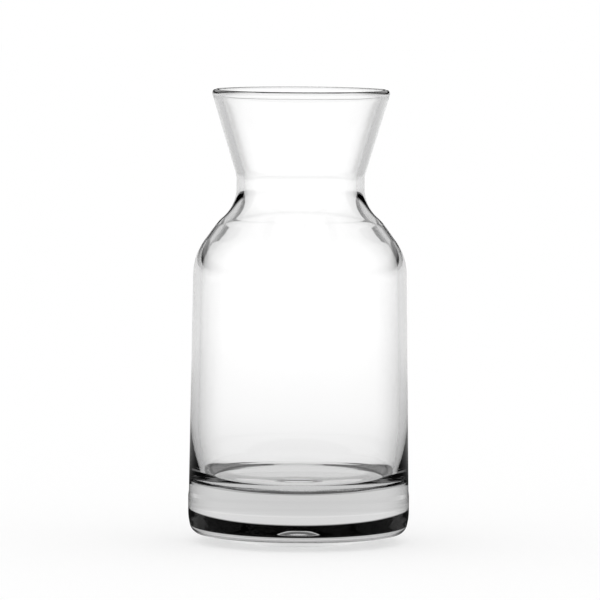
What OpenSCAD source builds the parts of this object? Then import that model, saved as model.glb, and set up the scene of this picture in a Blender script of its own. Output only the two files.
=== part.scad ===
// Water carafe: one piece of clear soda-lime glass with a thick foot, a straight
// body, a drawn-in neck and a flared mouth with a fire-polished lip.
// The origin is the centre of the standing ring, on the table, with +Z up.
// The outline is a chain of straight runs. Each section height is measured between
// the points where two runs would meet, and each such corner has its own rounding.

/* [Foot] */
// Diameter of the foot band, the widest part of the carafe
foot_d = 73.2; // [66:0.1:90]
// Height of the foot, from the table to the step under the body
foot_h = 15.5; // [13:0.1:22]
// How far the foot stands proud of the body above it
foot_step = 0.2; // [0.1:0.05:0.6]
// Height of the small slope between the foot band and the body
step_h = 1.5; // [1.5:0.1:4]
// Rounding at both ends of that slope
step_r = 2.5; // [1:0.5:6]
// Height at which the foot band starts to turn in towards the heel
heel_h = 8.6; // [6.5:0.1:11]
// Rounding from the foot band into the heel
heel_blend_r = 19; // [6:0.5:22]
// Diameter of the heel's lower edge
heel_d = 71; // [62:0.1:88]
// Height of the heel's lower edge above the table
heel_rise = 3.3; // [2:0.1:4.5]
// Rounding of the heel's lower edge
heel_r = 4; // [1.5:0.1:6]

/* [Underside] */
// Outer diameter of the flat standing ring
ring_d = 36; // [33:0.5:44]
// Rounding at both edges of the standing ring
ring_edge_r = 2.5; // [1:0.5:6]
// Inner diameter of the standing ring, around the hollow
hollow_d = 16; // [15:0.5:30]
// Depth of the hollow under the foot, at its centre
hollow_depth = 7; // [2:0.1:7.2]

/* [Floor] */
// Height of the inside floor above the table, at its centre
floor_z = 16.8; // [13:0.1:20]
// How much higher the floor lies where it meets the wall
floor_dish = 3.6; // [1:0.1:5]
// Rounding from the floor up into the wall
floor_corner_r = 7; // [3:0.5:14]

/* [Body] */
// Outer diameter of the body where it meets the shoulder
body_top_d = 70.6; // [64:0.1:88]
// Height of the body, from the foot to the shoulder
body_h = 78.1; // [60:0.1:110]
// Wall thickness of the body
body_t = 2.7; // [1.8:0.05:3.6]
// Wall thickness where the body meets the floor
base_t = 4.7; // [3:0.1:6.5]
// Height above the table below which the wall grows thicker
base_h = 32; // [30:1:60]
// Rounding inside, where the wall starts to grow thicker
base_r = 120; // [20:5:150]

/* [Shoulder] */
// Height of the shoulder, from the body to the yoke
shoulder_h = 11.3; // [9:0.1:15]
// Rounding from the body into the shoulder
shoulder_r = 19.8; // [10:0.2:24]
// Outer diameter of the yoke, where the shoulder tightens into the neck
yoke_d = 54.1; // [50:0.1:58]
// Rounding from the shoulder into the yoke
yoke_r = 15.5; // [8:0.5:18]
// Height of the yoke, from the shoulder to the throat
yoke_h = 5.2; // [4.5:0.1:8]
// Wall thickness of the shoulder
shoulder_t = 2.4; // [1.8:0.1:3.4]
// Rounding inside, from the body into the shoulder
shoulder_in_r = 19; // [10:0.5:30]
// Wall thickness of the yoke
yoke_t = 2.2; // [1.8:0.1:3.4]
// Rounding inside, from the shoulder into the yoke
yoke_in_r = 10; // [8:1:30]

/* [Neck] */
// Outer diameter of the throat, the narrowest part
throat_d = 42.4; // [38:0.1:45]
// Height of the throat, from the yoke to the flare
throat_h = 10; // [9:0.1:16]
// Rounding from the yoke into the throat
neck_r = 13.2; // [6:0.2:16]
// Rounding from the throat into the flare
flare_r = 7.6; // [3:0.2:10]
// Wall thickness of the throat
throat_t = 2.5; // [1.8:0.05:3.6]
// Rounding inside, from the yoke into the throat
neck_in_r = 15.5; // [8:0.5:30]
// Rounding inside, from the throat into the flare
flare_in_r = 8; // [6:0.5:20]

/* [Mouth] */
// Height of the flare, from the throat to the top of the lip
flare_h = 28.4; // [20:0.2:45]
// Outer diameter over the lip
mouth_d = 58.8; // [50:0.1:75]
// Wall thickness of the flare
flare_t = 2.5; // [1.8:0.1:3.6]
// How much thicker the fire-polished lip is than the flare
lip_swell = 0.03; // [0:0.01:1.2]
// Length of the lip's swelling, measured along the flare
lip_h = 3; // [2:0.1:7]

/* [Smoothness] */
// Number of straight runs that make up each rounded corner
corner_steps = 16; // [8:1:32]

/* [Hidden] */
GLASS = [0.84, 0.86, 0.85, 0.5];
TURN_FN = 180;
TILT_TRIES = 4;

foot_r = foot_d / 2;
throat_in_r = throat_d / 2 - throat_t;

// Heights of the corners above the table
body_z = foot_h + step_h;
shoulder_z = body_z + body_h;
yoke_z = shoulder_z + shoulder_h;
neck_z = yoke_z + yoke_h;
flare_z = neck_z + throat_h;
top_z = flare_z + flare_h;

// Outside corners from the body's foot up to the top of the throat
BODY_LOW = [foot_r - foot_step, body_z];
BODY_TOP = [body_top_d / 2, shoulder_z];
YOKE = [yoke_d / 2, yoke_z];
NECK = [throat_d / 2, neck_z];
THROAT_TOP = [throat_d / 2, flare_z];

UP = [0, 1];
OUT = [1, 0];

function unit(v) = v / norm(v);
function inward(v) = [-v.y, v.x];
function cross_of(a, b) = a.x * b.y - a.y * b.x;

// Where the line through p along u meets the line through q along v
function meeting(p, u, q, v) = p + u * cross_of(q - p, v) / cross_of(u, v);

// The inside corner under the outside corner b of the runs a-b and b-c,
// whose walls are t_ab and t_bc thick
function inside_corner(a, b, c, t_ab, t_bc) =
    let (u = unit(b - a), v = unit(c - b))
    meeting(b + inward(u) * t_ab, u, b + inward(v) * t_bc, v);

// A chain holds rows of [r, z, rounding]. place() is a row's corner, and back() and
// ahead() are the directions from it to the rows beside it.
function place(row) = [row[0], row[1]];
function back(chain, i) = unit(place(chain[i - 1]) - place(chain[i]));
function ahead(chain, i) = unit(place(chain[i + 1]) - place(chain[i]));
function run(chain, i) = norm(place(chain[i + 1]) - place(chain[i]));

// Half of the angle between the two runs at corner i
function half_angle(chain, i) = acos(back(chain, i) * ahead(chain, i)) / 2;

// How much of each run beside corner i its rounding asks for
function asked(chain, i) =
    i == 0 || i == len(chain) - 1 ? 0 : chain[i][2] / tan(half_angle(chain, i));

// The share of its rounding for which corner i has room on both of its runs
function room_share(chain, i) = min(
    1,
    run(chain, i - 1) / (asked(chain, i - 1) + asked(chain, i)),
    run(chain, i) / (asked(chain, i) + asked(chain, i + 1))
);

function turned(v, angle) = [
    v.x * cos(angle) - v.y * sin(angle),
    v.x * sin(angle) + v.y * cos(angle),
];

// The points of the arc that rounds corner i
function arc(chain, i) =
    let (
        half = half_angle(chain, i),
        share = room_share(chain, i),
        middle = unit(back(chain, i) + ahead(chain, i)),
        centre = place(chain[i]) + middle * chain[i][2] * share / sin(half),
        first = place(chain[i]) + back(chain, i) * asked(chain, i) * share - centre,
        side = sign(cross_of(back(chain, i), ahead(chain, i))),
        turn = -side * (180 - 2 * half)
    )
    [for (k = [0 : corner_steps]) centre + turned(first, turn * k / corner_steps)];

// The whole chain with every corner rounded. Its first and last rows stay sharp.
function rounded(chain) = [
    place(chain[0]),
    for (i = [1 : len(chain) - 2]) each arc(chain, i),
    place(chain[len(chain) - 1]),
];

// A shallow dish with its centre at height z on the axis, which lies rise higher (or
// lower, if rise is negative) at radius r, is one arc between the flat run at its
// centre and the slope at its edge: these are that arc's corner and its rounding.
function dish_corner(r, z, rise) = [
    (r * r + rise * rise) / (2 * r),
    z,
    (r * r + rise * rise) / (2 * abs(rise)),
];

// The lip is an ellipse across the end of the flare, as long as lip_h and as thick as
// the flare and its swelling. Leaning it out by tilt makes it reach this far.
lip_half = [(flare_t + lip_swell) / 2, lip_h / 2];
function lip_reach(tilt) = [
    norm([lip_half.x * cos(tilt), lip_half.y * sin(tilt)]),
    norm([lip_half.x * sin(tilt), lip_half.y * cos(tilt)]),
];
function lip_centre(tilt) = [mouth_d / 2, top_z] - lip_reach(tilt);

// The middle of the wall runs from the top of the throat to the centre of the lip, so
// the flare's lean follows from the lip's place, and that place from the lean.
throat_middle = THROAT_TOP - OUT * throat_t / 2;
function lean(tries) =
    let (to_lip = lip_centre(tries == 0 ? 0 : lean(tries - 1)) - throat_middle)
    atan2(to_lip.x, to_lip.y);

flare_lean = lean(TILT_TRIES);
flare_up = [sin(flare_lean), cos(flare_lean)];
flare_out = [cos(flare_lean), -sin(flare_lean)];
lip_at = lip_centre(flare_lean);

// Where the flare's two faces meet the throat's
flare_foot_out = meeting(THROAT_TOP, UP, lip_at + flare_out * flare_t / 2, flare_up);
flare_foot_in = meeting([throat_in_r, 0], UP, lip_at - flare_out * flare_t / 2, flare_up);

// The lip's outline, from the flare's outer face over the top to its inner face
lip_start = -acos(flare_t / 2 / lip_half.x);
LIP = [
    for (k = [0 : 2 * corner_steps])
        let (a = lip_start + (180 - 2 * lip_start) * k / (2 * corner_steps))
        lip_at + flare_out * lip_half.x * cos(a) + flare_up * lip_half.y * sin(a)
];

// Inside corners of the wall, from the neck down to the body
neck_in = inside_corner(YOKE, NECK, THROAT_TOP, yoke_t, throat_t);
yoke_in = inside_corner(BODY_TOP, YOKE, NECK, shoulder_t, yoke_t);
body_in = inside_corner(BODY_LOW, BODY_TOP, YOKE, body_t, shoulder_t);

// Where the wall starts to grow thicker, and the edge of the floor under it
body_up = unit(BODY_TOP - BODY_LOW);
base_in = meeting(body_in, body_up, [0, base_h], OUT);
floor_edge = meeting(BODY_LOW - OUT * base_t, body_up, [0, floor_z + floor_dish], OUT);

OUTSIDE = rounded([
    [0, hollow_depth],
    dish_corner(hollow_d / 2, hollow_depth, -hollow_depth),
    [hollow_d / 2, 0, ring_edge_r],
    [ring_d / 2, 0, ring_edge_r],
    [heel_d / 2, heel_rise, heel_r],
    [foot_r, heel_h, heel_blend_r],
    [foot_r, foot_h, step_r],
    [BODY_LOW.x, BODY_LOW.y, step_r],
    [BODY_TOP.x, BODY_TOP.y, shoulder_r],
    [YOKE.x, YOKE.y, yoke_r],
    [NECK.x, NECK.y, neck_r],
    [flare_foot_out.x, flare_foot_out.y, flare_r],
    LIP[0],
]);

INSIDE = rounded([
    LIP[len(LIP) - 1],
    [flare_foot_in.x, flare_foot_in.y, flare_in_r],
    [neck_in.x, neck_in.y, neck_in_r],
    [yoke_in.x, yoke_in.y, yoke_in_r],
    [body_in.x, body_in.y, shoulder_in_r],
    [base_in.x, base_in.y, base_r],
    [floor_edge.x, floor_edge.y, floor_corner_r],
    dish_corner(floor_edge.x, floor_z, floor_dish),
    [0, floor_z],
]);

function drop_ends(points) = [for (i = [1 : len(points) - 2]) points[i]];

module carafe() {
    color(GLASS)
        rotate_extrude($fn = TURN_FN)
            polygon(concat(OUTSIDE, drop_ends(LIP), INSIDE));
}

carafe();
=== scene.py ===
"""The looks of a water carafe: one piece of clear glass, seen on a pale table in a plain studio.

The carafe is a surface of revolution. Its outline is a chain of straight runs with rounded corners, the
same chain as the solid model's, and is turned round the upright axis. Lengths are in metres unless a
name says otherwise.
"""

import logging
import math
from dataclasses import dataclass, field
from enum import Enum

import bpy
import numpy as np
from mathutils import Matrix, Vector


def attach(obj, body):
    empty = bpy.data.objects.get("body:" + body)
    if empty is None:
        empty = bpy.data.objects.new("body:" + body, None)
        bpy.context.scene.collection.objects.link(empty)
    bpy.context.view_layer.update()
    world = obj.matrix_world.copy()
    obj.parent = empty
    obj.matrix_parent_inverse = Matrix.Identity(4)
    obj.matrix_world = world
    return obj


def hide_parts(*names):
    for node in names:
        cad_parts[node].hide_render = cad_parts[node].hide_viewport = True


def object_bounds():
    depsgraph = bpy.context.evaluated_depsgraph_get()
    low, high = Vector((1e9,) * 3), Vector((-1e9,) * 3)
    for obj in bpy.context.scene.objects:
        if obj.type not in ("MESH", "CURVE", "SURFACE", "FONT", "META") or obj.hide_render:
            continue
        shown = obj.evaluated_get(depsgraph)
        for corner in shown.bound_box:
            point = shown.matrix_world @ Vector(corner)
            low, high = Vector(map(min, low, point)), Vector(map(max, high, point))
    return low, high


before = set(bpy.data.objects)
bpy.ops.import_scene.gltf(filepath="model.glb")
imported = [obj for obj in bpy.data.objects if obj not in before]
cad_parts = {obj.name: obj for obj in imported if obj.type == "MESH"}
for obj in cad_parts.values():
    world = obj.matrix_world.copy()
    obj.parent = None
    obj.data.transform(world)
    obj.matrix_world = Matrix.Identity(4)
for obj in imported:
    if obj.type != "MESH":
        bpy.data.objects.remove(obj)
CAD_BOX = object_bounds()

LOG = logging.getLogger("carafe")
MM = 0.001
SAME_POINT = 1e-9
LEAN_ROUNDS = 5
LIP_STEP = 5.0
WHITE = (1.0, 1.0, 1.0, 1.0)
BODY = "root"
NODE = "carafe"

Pair = tuple[float, float]
Corner = tuple[float, float, float]


class Ray(Enum):
    """What can be asked of a ray: its kind, or how often the glass has mirrored it."""

    CAMERA = "Is Camera Ray"
    GLASS = "Is Glossy Ray"
    THROUGH = "Is Transmission Ray"
    TURNS = "Glossy Depth"


def unit(v: np.ndarray) -> np.ndarray:
    """Returns v scaled to length 1."""
    return v / np.linalg.norm(v)


def cross(a: np.ndarray, b: np.ndarray) -> float:
    """Returns the area spanned by two flat vectors, with its sign."""
    return float(a[0] * b[1] - a[1] * b[0])


def inward(v: np.ndarray) -> np.ndarray:
    """Returns the direction square to v on its left, which is into the glass for an upward run."""
    return np.array([-v[1], v[0]])


def meeting(p: np.ndarray, u: np.ndarray, q: np.ndarray, v: np.ndarray) -> np.ndarray:
    """Finds where two lines meet.

    Args:
        p: a point of the first line.
        u: the first line's direction.
        q: a point of the second line.
        v: the second line's direction.

    Returns:
        p + u * cross(q - p, v) / cross(u, v), the point that lies on both.
    """
    return p + u * cross(q - p, v) / cross(u, v)


def inside_corner(a: np.ndarray, b: np.ndarray, c: np.ndarray, walls: Pair) -> np.ndarray:
    """Finds the inside corner under the outside corner b.

    Args:
        a: the outside corner before b.
        b: the outside corner itself.
        c: the outside corner after b.
        walls: the thickness of the wall along a-b and along b-c.

    Returns:
        The point where the two outside runs meet once each is moved in by its wall.
    """
    u, v = unit(b - a), unit(c - b)
    return meeting(b + inward(u) * walls[0], u, b + inward(v) * walls[1], v)


def dish_corner(r: float, z: float, rise: float) -> Corner:
    """Gives the corner whose rounding is a shallow dish.

    The dish is one arc from the axis, where it is flat, to radius r, where it lies rise higher. By the
    chord rule its radius is (r^2 + rise^2) / (2 rise), and its end tangents meet at (r^2 + rise^2) / (2 r).

    Args:
        r: radius at the dish's edge.
        z: height at its centre.
        rise: how much higher its edge lies than its centre, or lower if negative.

    Returns:
        The corner's radius from the axis, its height and its rounding.
    """
    square = r * r + rise * rise
    return square / (2 * r), z, square / (2 * abs(rise))


def rounded(chain: list[Corner], step: float) -> np.ndarray:
    """Rounds each corner of a chain of straight runs.

    At a corner with half angle h between its runs, an arc of radius R leaves each run at R / tan(h) from
    the corner, about a centre that lies R / sin(h) away along the runs' bisector. Where two roundings
    would meet on a run, both shrink to share it.

    Args:
        chain: rows of radius, height and rounding; the first and last rows stay sharp.
        step: the turn between two points of an arc, in degrees.

    Returns:
        The rounded chain's points, one row each.
    """
    at = np.array([row[:2] for row in chain])
    radii = np.array([row[2] for row in chain])
    runs = np.diff(at, axis=0)
    lengths = np.linalg.norm(runs, axis=1)
    ways = runs / lengths[:, None]
    halves = np.arccos(np.clip(-(ways[:-1] * ways[1:]).sum(axis=1), -1, 1)) / 2
    asked = np.zeros(len(chain))
    asked[1:-1] = radii[1:-1] / np.tan(halves)
    pieces = [at[:1]]
    for i, half in enumerate(halves, start=1):
        share = min(1, *(lengths[j] / (asked[j] + asked[j + 1]) for j in (i - 1, i)))
        middle = unit(ways[i] - ways[i - 1])
        centre = at[i] + middle * radii[i] * share / math.sin(half)
        first = at[i] - ways[i - 1] * asked[i] * share - centre
        turn = math.copysign(math.pi - 2 * half, cross(ways[i - 1], ways[i]))
        count = max(2, math.ceil(abs(math.degrees(turn)) / step))
        angles = turn * np.arange(count + 1) / count
        across = np.array([-first[1], first[0]])
        pieces.append(centre + np.outer(np.cos(angles), first) + np.outer(np.sin(angles), across))
    pieces.append(at[-1:])
    return np.vstack(pieces)


def evenly(points: np.ndarray, longest: float) -> np.ndarray:
    """Adds points to the long runs of an outline, so that no run is longer than a limit.

    Args:
        points: the outline's points, one row each.
        longest: the longest run that may stay.

    Returns:
        The outline with each run cut into equal parts.
    """
    runs = np.diff(points, axis=0)
    lengths = np.linalg.norm(runs, axis=1)
    keep = lengths > SAME_POINT
    runs, lengths, starts = runs[keep], lengths[keep], points[:-1][keep]
    parts = np.maximum(1, np.ceil(lengths / longest)).astype(int)
    run = np.repeat(np.arange(len(runs)), parts)
    part = np.arange(len(run)) - np.repeat(np.cumsum(parts) - parts, parts)
    return np.vstack([starts[run] + runs[run] * (part / parts[run])[:, None], points[-1:]])


def turned(name: str, outline: np.ndarray, segments: int) -> bpy.types.Object:
    """Turns an outline round the upright axis into a closed surface.

    Point (r, z) of the outline becomes the ring (r cos a, r sin a, z) for segments angles a. The outline's
    two ends lie on the axis and become single points, joined to the next ring by a fan of triangles.

    Args:
        name: the new object's name.
        outline: points from the axis round to the axis again, with the solid on their left.
        segments: how many faces go round.

    Returns:
        The object, at the origin, with smooth faces that point outwards.
    """
    rings = outline[1:-1]
    angles = np.linspace(0, 2 * np.pi, segments, endpoint=False)
    grid = np.empty((len(rings), segments, 3))
    grid[..., 0] = rings[:, :1] * np.cos(angles)
    grid[..., 1] = rings[:, :1] * np.sin(angles)
    grid[..., 2] = rings[:, 1:]
    poles = np.array([[0, 0, outline[0, 1]], [0, 0, outline[-1, 1]]])
    vertices = np.vstack([grid.reshape(-1, 3), poles])
    near = np.arange(segments)
    far = np.roll(near, -1)
    base = np.arange(len(rings) - 1)[:, None] * segments
    quads = np.stack([base + near, base + far, base + segments + far, base + segments + near], axis=-1)
    last = (len(rings) - 1) * segments
    low_pole, high_pole = len(vertices) - 2, len(vertices) - 1
    low_fan = np.stack([far, near, np.full(segments, low_pole)], axis=-1)
    high_fan = np.stack([last + near, last + far, np.full(segments, high_pole)], axis=-1)
    mesh = bpy.data.meshes.new(name)
    faces = quads.reshape(-1, 4).tolist() + low_fan.tolist() + high_fan.tolist()
    mesh.from_pydata(vertices.tolist(), [], faces)
    mesh.polygons.foreach_set("use_smooth", np.ones(len(mesh.polygons), dtype=bool))
    mesh.update()
    made = bpy.data.objects.new(name, mesh)
    bpy.context.scene.collection.objects.link(made)
    return made


class Signal:
    """A node's output that can be reckoned with like a number, each sum adding its Math node."""

    def __init__(self, shop: "NodeShop", socket: bpy.types.NodeSocket) -> None:
        """Wraps an output.

        Args:
            shop: the node tree's shop.
            socket: the output that carries the value.
        """
        self.shop = shop
        self.socket = socket

    def _sum(self, operation: str, first: "Value", second: "Value") -> "Signal":
        """Returns a Math node's result for two values."""
        return self.shop.node("ShaderNodeMath", {"operation": operation}, {0: first, 1: second})

    def __add__(self, other: "Value") -> "Signal":
        """Returns self + other."""
        return self._sum("ADD", self, other)

    def __sub__(self, other: "Value") -> "Signal":
        """Returns self - other."""
        return self._sum("SUBTRACT", self, other)

    def __rsub__(self, other: "Value") -> "Signal":
        """Returns other - self."""
        return self._sum("SUBTRACT", other, self)

    def __mul__(self, other: "Value") -> "Signal":
        """Returns self * other."""
        return self._sum("MULTIPLY", self, other)

    def __truediv__(self, other: "Value") -> "Signal":
        """Returns self / other."""
        return self._sum("DIVIDE", self, other)

    __radd__ = __add__
    __rmul__ = __mul__

    def at_most(self, other: "Value") -> "Signal":
        """Returns the smaller of self and other."""
        return self._sum("MINIMUM", self, other)

    def at_least(self, other: "Value") -> "Signal":
        """Returns the larger of self and other."""
        return self._sum("MAXIMUM", self, other)

    def ramp(self, start: float, end: float) -> "Signal":
        """Returns how far self is from start to end, held between 0 and 1."""
        return ((self - start) / (end - start)).at_least(0.0).at_most(1.0)


Value = Signal | float


@dataclass
class NodeShop:
    """Adds nodes to one node tree."""

    tree: bpy.types.NodeTree

    def node(
        self,
        kind: str,
        settings: dict[str, object],
        inputs: dict[int | str, object],
        output: int | str = 0,
    ) -> Signal:
        """Adds a node.

        Args:
            kind: the node's type.
            settings: its properties, set first.
            inputs: a value or a Signal for each socket that isn't left alone.
            output: the output to return.

        Returns:
            The node's output.
        """
        made = self.tree.nodes.new(kind)
        for name, value in settings.items():
            setattr(made, name, value)
        for key, value in inputs.items():
            if isinstance(value, Signal):
                self.tree.links.new(value.socket, made.inputs[key])
            else:
                made.inputs[key].default_value = value
        return Signal(self, made.outputs[output])

    def ask(self, question: Ray) -> Signal:
        """Returns the answer to a question about the ray that is being followed."""
        return self.node("ShaderNodeLightPath", {}, {}, question.value)

    def put(self, signal: Signal, node: str, socket: str) -> None:
        """Links a signal to a socket of a node that is already there."""
        self.tree.links.new(signal.socket, self.tree.nodes[node].inputs[socket])


@dataclass(frozen=True)
class ClearGlass:
    """Clear soda-lime glass, fire polished, with painted shade that greys its edges, and very slightly wavy.

    The painted shade grows from edge_start to edge_end, where 0 faces the eye and 1 is edge-on, and takes
    painted_edge_shade off the white there. Absorption is for each metre of glass. The waves are wave_size
    metres long and wave_height metres high.
    """

    ior: float = 1.52
    roughness: float = 0.0
    painted_edge_shade: float = 0.19
    absorption: float = 5.5
    edge_start: float = 0.35
    edge_end: float = 0.65
    wave_size: float = 0.017
    wave_height: float = 0.00003

    def material(self) -> bpy.types.Material:
        """Returns the finish as a material."""
        made = bpy.data.materials.new("clear_glass")
        made.use_nodes = True
        shader = made.node_tree.nodes["Principled BSDF"]
        shader.inputs["Transmission Weight"].default_value = 1.0
        shader.inputs["IOR"].default_value = self.ior
        shader.inputs["Roughness"].default_value = self.roughness
        shop = NodeShop(made.node_tree)
        # Painted shade: the glass's colour turns grey where its surface is seen edge-on.
        turned_away = shop.node("ShaderNodeLayerWeight", {}, {"Blend": 0.5}, "Facing")
        grey = 1 - turned_away.ramp(self.edge_start, self.edge_end) * self.painted_edge_shade
        colour = shop.node("ShaderNodeCombineColor", {}, {0: grey, 1: grey, 2: grey}, "Color")
        shop.put(colour, "Principled BSDF", "Base Color")
        place = shop.node("ShaderNodeTexCoord", {}, {}, "Object")
        waves = shop.node("ShaderNodeTexNoise", {}, {
            "Vector": place, "Scale": 1 / self.wave_size, "Detail": 1.0,
        })
        wavy = shop.node("ShaderNodeBump", {}, {
            "Height": waves, "Distance": self.wave_height, "Strength": 1.0,
        })
        shop.put(wavy, "Principled BSDF", "Normal")
        black = (0.0, 0.0, 0.0, 1.0)
        body = shop.node("ShaderNodeVolumeAbsorption", {}, {"Color": black, "Density": self.absorption})
        shop.put(body, "Material Output", "Volume")
        return made


@dataclass
class Carafe:
    """The carafe's sizes, in millimetres, and its surface.

    A name in _d is a diameter, _r a rounding, _h a height, _t a wall's thickness and _z a height over the
    table. The mesh turns by arc_step degrees between two points of a rounding, has no run longer than
    longest_run, and goes round in so many segments.
    """

    foot_d: float = 73.2
    foot_h: float = 15.5
    foot_step: float = 0.2
    step_h: float = 1.5
    step_r: float = 2.5
    heel_h: float = 8.6
    heel_blend_r: float = 19.0
    heel_d: float = 71.0
    heel_rise: float = 3.3
    heel_r: float = 4.0
    ring_d: float = 36.0
    ring_edge_r: float = 2.5
    hollow_d: float = 16.0
    hollow_depth: float = 7.0
    floor_z: float = 16.8
    floor_dish: float = 3.6
    floor_corner_r: float = 7.0
    body_top_d: float = 70.6
    body_h: float = 78.1
    body_t: float = 2.7
    base_t: float = 4.7
    base_h: float = 32.0
    base_r: float = 120.0
    shoulder_h: float = 11.3
    shoulder_r: float = 19.8
    yoke_d: float = 54.1
    yoke_r: float = 15.5
    yoke_h: float = 5.2
    shoulder_t: float = 2.4
    shoulder_in_r: float = 19.0
    yoke_t: float = 2.2
    yoke_in_r: float = 10.0
    throat_d: float = 42.4
    throat_h: float = 10.0
    neck_r: float = 13.2
    flare_r: float = 7.6
    throat_t: float = 2.5
    neck_in_r: float = 15.5
    flare_h: float = 28.4
    mouth_d: float = 58.8
    flare_t: float = 2.5
    flare_in_r: float = 8.0
    lip_swell: float = 0.03
    lip_h: float = 3.0
    arc_step: float = 2.0
    longest_run: float = 2.2
    segments: int = 208
    finish: ClearGlass = field(default_factory=ClearGlass)

    def corners(self) -> dict[str, np.ndarray]:
        """Returns the outside corners from the body's foot up to the top of the throat, by name."""
        steps = [self.foot_h, self.step_h, self.body_h, self.shoulder_h, self.yoke_h, self.throat_h]
        heights = np.cumsum(steps)
        radii = {
            "foot": self.foot_d / 2,
            "body_low": self.foot_d / 2 - self.foot_step,
            "body_top": self.body_top_d / 2,
            "yoke": self.yoke_d / 2,
            "neck": self.throat_d / 2,
            "throat_top": self.throat_d / 2,
        }
        return {name: np.array([r, z]) for (name, r), z in zip(radii.items(), heights)}

    def lip(self, throat_top: np.ndarray) -> tuple[np.ndarray, np.ndarray, np.ndarray, np.ndarray]:
        """Shapes the lip, an ellipse across the end of the flare.

        The ellipse has half axes a across the wall and b along it, and leans out by the angle t, so that it
        reaches sqrt(a^2 cos^2 t + b^2 sin^2 t) outwards and sqrt(a^2 sin^2 t + b^2 cos^2 t) upwards. The
        wall's middle runs from the throat to its centre, and a few rounds settle t and that centre together.

        Args:
            throat_top: the outside corner at the top of the throat.

        Returns:
            The lip's points from outside over the top to inside, its centre, and the flare's directions
            upwards along the wall and outwards across it.
        """
        a, b = (self.flare_t + self.lip_swell) / 2, self.lip_h / 2
        top = np.array([self.mouth_d / 2, throat_top[1] + self.flare_h])
        lean = 0.0
        for _ in range(LEAN_ROUNDS):
            reach = np.array([math.hypot(a * math.cos(lean), b * math.sin(lean)),
                              math.hypot(a * math.sin(lean), b * math.cos(lean))])
            centre = top - reach
            across, up = centre - (throat_top - np.array([self.throat_t / 2, 0]))
            lean = math.atan2(across, up)
        along = np.array([math.sin(lean), math.cos(lean)])
        out = np.array([math.cos(lean), -math.sin(lean)])
        first = -math.acos(self.flare_t / 2 / a)
        count = round(math.degrees(math.pi - 2 * first) / LIP_STEP)
        angles = np.linspace(first, math.pi - first, count)
        points = centre + np.outer(a * np.cos(angles), out) + np.outer(b * np.sin(angles), along)
        return points, centre, along, out

    def outline(self) -> np.ndarray:
        """Returns the outline in metres, from the hollow's centre round the outside to the floor's centre."""
        at = self.corners()
        up = np.array([0.0, 1.0])
        lip, lip_centre, along, out = self.lip(at["throat_top"])
        flare_out = meeting(at["throat_top"], up, lip_centre + out * self.flare_t / 2, along)
        throat_in = at["throat_top"] - np.array([self.throat_t, 0])
        flare_in = meeting(throat_in, up, lip_centre - out * self.flare_t / 2, along)
        outside = rounded([
            (0.0, self.hollow_depth, 0.0),
            dish_corner(self.hollow_d / 2, self.hollow_depth, -self.hollow_depth),
            (self.hollow_d / 2, 0.0, self.ring_edge_r),
            (self.ring_d / 2, 0.0, self.ring_edge_r),
            (self.heel_d / 2, self.heel_rise, self.heel_r),
            (self.foot_d / 2, self.heel_h, self.heel_blend_r),
            (*at["foot"], self.step_r),
            (*at["body_low"], self.step_r),
            (*at["body_top"], self.shoulder_r),
            (*at["yoke"], self.yoke_r),
            (*at["neck"], self.neck_r),
            (*flare_out, self.flare_r),
            (*lip[0], 0.0),
        ], self.arc_step)
        neck_in = inside_corner(at["yoke"], at["neck"], at["throat_top"], (self.yoke_t, self.throat_t))
        yoke_in = inside_corner(at["body_top"], at["yoke"], at["neck"], (self.shoulder_t, self.yoke_t))
        body_in = inside_corner(at["body_low"], at["body_top"], at["yoke"], (self.body_t, self.shoulder_t))
        body_up = unit(at["body_top"] - at["body_low"])
        level = np.array([1.0, 0.0])
        base_in = meeting(body_in, body_up, np.array([0.0, self.base_h]), level)
        rim = np.array([0.0, self.floor_z + self.floor_dish])
        edge = meeting(at["body_low"] - level * self.base_t, body_up, rim, level)
        inside = rounded([
            (*lip[-1], 0.0),
            (*flare_in, self.flare_in_r),
            (*neck_in, self.neck_in_r),
            (*yoke_in, self.yoke_in_r),
            (*body_in, self.shoulder_in_r),
            (*base_in, self.base_r),
            (*edge, self.floor_corner_r),
            dish_corner(edge[0], self.floor_z, self.floor_dish),
            (0.0, self.floor_z, 0.0),
        ], self.arc_step)
        return evenly(np.vstack([outside, lip[1:-1], inside]), self.longest_run) * MM

    def build(self) -> bpy.types.Object:
        """Makes the carafe's mesh, gives it its glass and puts it in the frame.

        Returns:
            The carafe, riding on its body in place of the solid.
        """
        made = turned("carafe_glass", self.outline(), self.segments)
        made.data.materials.append(self.finish.material())
        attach(made, BODY)
        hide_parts(NODE)
        return made


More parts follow.
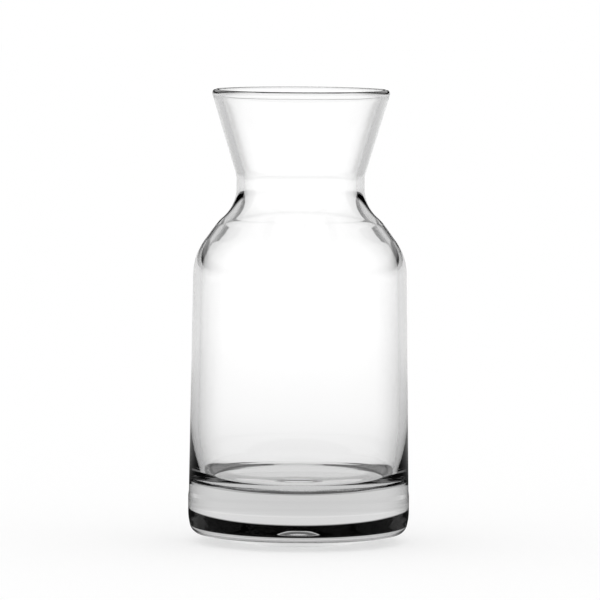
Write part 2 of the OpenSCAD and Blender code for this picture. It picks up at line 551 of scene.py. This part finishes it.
@dataclass(frozen=True)
class Viewpoint:
    """Where the photograph was taken from.

    The pixel values belong to the photograph's frame of 600 by 600 pixels.
    """

    frame_px: float = 600.0
    distance: float = 2.10
    elevation: float = 3.96
    roll: float = 0.36
    mm_per_px: float = 0.331
    middle_column_px: float = 299.85
    middle_row_px: float = 316.0
    sensor_mm: float = 36.0

    def place(self) -> bpy.types.Object:
        """Makes the camera.

        It stands at this distance and elevation from the middle of the object, in front of it (-Y), and is
        aimed so that this middle falls on its pixel.

        Returns:
            The camera, set as the scene's.
        """
        low, high = (Vector(corner) for corner in CAD_BOX)
        middle = (low + high) / 2
        middle.x = middle.y = 0.0
        focal_px = self.distance / (self.mm_per_px * MM)
        data = bpy.data.cameras.new("photo_camera")
        data.sensor_width = self.sensor_mm
        data.lens = self.sensor_mm * focal_px / self.frame_px
        camera = bpy.data.objects.new("photo_camera", data)
        rise = math.radians(self.elevation)
        away = Vector((0.0, -math.cos(rise), math.sin(rise)))
        camera.location = middle + away * self.distance
        look = Matrix.Rotation(math.pi / 2 - rise, 4, "X")
        half = self.frame_px / 2
        column, row = self.middle_column_px - half, self.middle_row_px - half
        roll = Matrix.Rotation(math.radians(self.roll), 4, "Z")
        pan = Matrix.Rotation(math.atan(column / focal_px), 4, "Y")
        tilt = Matrix.Rotation(math.atan(row / focal_px), 4, "X")
        camera.matrix_world = Matrix.Translation(camera.location) @ look @ pan @ tilt @ roll
        bpy.context.scene.collection.objects.link(camera)
        bpy.context.scene.camera = camera
        return camera


@dataclass
class Studio:
    """A white table before a lit backdrop, under a pale ceiling.

    The camera and the table see plain white. What the glass lets through is the lit backdrop up to just over
    the horizon, the dark room over it and the pale ceiling, and the table, which carries a painted shadow
    that makes it darker near the carafe than far from it. Heights in the dome are the sine of the angle over
    the horizon, and names that end in _m are distances from the carafe's axis. A share is a part of the
    light, from 0 to 1.
    """

    table_size: float = 12.0
    backdrop_level: float = 1.1
    backdrop_end: float = 0.048
    backdrop_blur: float = 0.006
    ceiling_level: float = 1.0
    ceiling_start: float = 0.15
    ceiling_end: float = 0.21
    mirrored_share: float = 0.74
    deep_share: float = 0.35
    outer_front: float = 0.02
    outer_behind: float = 0.9
    outer_range: Pair = (0.2, 0.8)
    near_level: float = 0.95
    near_m: float = 0.04
    far_level: float = 1.18
    far_m: float = 1.0
    under_m: Pair = (0.030, 0.036)
    shadow_share: float = 0.4

    def table(self) -> bpy.types.Object:
        """Returns the table top, white and matt; what the glass shows of it has a painted shadow near the
        carafe.
        """
        half = self.table_size / 2
        mesh = bpy.data.meshes.new("table_top")
        corners = [(-half, -half, 0), (half, -half, 0), (half, half, 0), (-half, half, 0)]
        mesh.from_pydata(corners, [], [(0, 1, 2, 3)])
        made = bpy.data.objects.new("table_top", mesh)
        bpy.context.scene.collection.objects.link(made)
        white = bpy.data.materials.new("white_table")
        white.use_nodes = True
        shop = NodeShop(white.node_tree)
        shader = white.node_tree.nodes["Principled BSDF"]
        shader.inputs["Base Color"].default_value = WHITE
        shader.inputs["Roughness"].default_value = 1.0
        shader.inputs["Specular IOR Level"].default_value = 0.0
        camera = shop.ask(Ray.CAMERA)
        glass = shop.ask(Ray.GLASS)
        place = shop.node("ShaderNodeNewGeometry", {}, {}, "Position")
        away = shop.node("ShaderNodeVectorMath", {"operation": "LENGTH"}, {0: place}, "Value")
        # Painted shadow: for rays from the glass, the table glows less near the carafe and more far from it.
        level = away.ramp(self.near_m, self.far_m) * (self.far_level - self.near_level) + self.near_level
        under = 1 - away.ramp(*self.under_m)
        strength = glass * level * self.share(shop, place, under) + camera
        glow = shop.node("ShaderNodeEmission", {}, {"Strength": strength})
        share = glass.at_least(camera * (1 - self.shadow_share))
        matt = Signal(shop, shader.outputs[0])
        mixed = shop.node("ShaderNodeMixShader", {}, {0: share, 1: matt, 2: glow})
        shop.put(mixed, "Material Output", "Surface")
        mesh.materials.append(white)
        return made

    def share(self, shop: NodeShop, way: Signal, under: Signal | float = 0.0) -> Signal:
        """Reckons how much of the room's light a ray from the glass brings.

        What the carafe's outer faces mirror is painted dark, like a dark side of the room, save the backdrop
        behind the carafe (+Y) where they are seen edge-on. Light that the glass has mirrored inside once is
        painted darker than light that goes straight through, and light that it has mirrored more often is
        painted darker still.

        Args:
            shop: the node tree's shop.
            way: where the ray goes, as a direction or a place on the table.
            under: 1 for a place under the carafe, whose underside mirrors the white table, down to 0.

        Returns:
            The share, from 0 to 1.
        """
        through = shop.ask(Ray.THROUGH)
        turns = shop.ask(Ray.TURNS)
        mirrored = turns.at_most(1.0)
        deep = (turns - 1.0).at_least(0.0).at_most(1.0)
        # Painted shade: what the outer faces mirror is dark, save behind the carafe and under it.
        behind = shop.node("ShaderNodeSeparateXYZ", {}, {0: way}, "Y").ramp(*self.outer_range)
        outer = (behind * (self.outer_behind - self.outer_front) + self.outer_front).at_least(under)
        # Painted shade: light mirrored inside the glass is made darker, and darker again after more turns.
        inner = (1 - mirrored * (1 - self.mirrored_share)) * (1 - deep * (1 - self.deep_share))
        return through * inner + (1 - through) * outer

    def dome(self) -> None:
        """Sets the world: white for the camera and the table, the room for what the glass shows."""
        world = bpy.data.worlds.new("studio")
        world.use_nodes = True
        bpy.context.scene.world = world
        shop = NodeShop(world.node_tree)
        way = shop.node("ShaderNodeTexCoord", {}, {}, "Generated")
        height = shop.node("ShaderNodeSeparateXYZ", {}, {0: way}, "Z")
        blur = self.backdrop_blur
        backdrop = 1 - height.ramp(self.backdrop_end - blur, self.backdrop_end + blur)
        ceiling = height.ramp(self.ceiling_start, self.ceiling_end)
        room = backdrop * self.backdrop_level + ceiling * self.ceiling_level
        glass = shop.ask(Ray.GLASS)
        # What the glass mirrors of the room carries the painted shade reckoned in share.
        shop.put(glass * room * self.share(shop, way) + (1 - glass), "Background", "Strength")
        world.node_tree.nodes["Background"].inputs["Color"].default_value = WHITE

    def build(self) -> bpy.types.Object:
        """Lays the table, sets the world and returns the table top."""
        made = self.table()
        self.dome()
        return made


def main() -> None:
    """Builds the carafe, the camera and the studio, and reports each."""
    logging.basicConfig(level=logging.INFO, format="%(name)s: %(message)s")
    camera = Viewpoint().place()
    LOG.info("%s: lens of %.1f mm", camera.name, camera.data.lens)
    made = Carafe().build()
    LOG.info("%s: %d faces", made.name, len(made.data.polygons))
    table = Studio().build()
    LOG.info("%s: %d face", table.name, len(table.data.polygons))
    bpy.context.scene.view_settings.view_transform = "Standard"


if __name__ == "__main__":
    main()
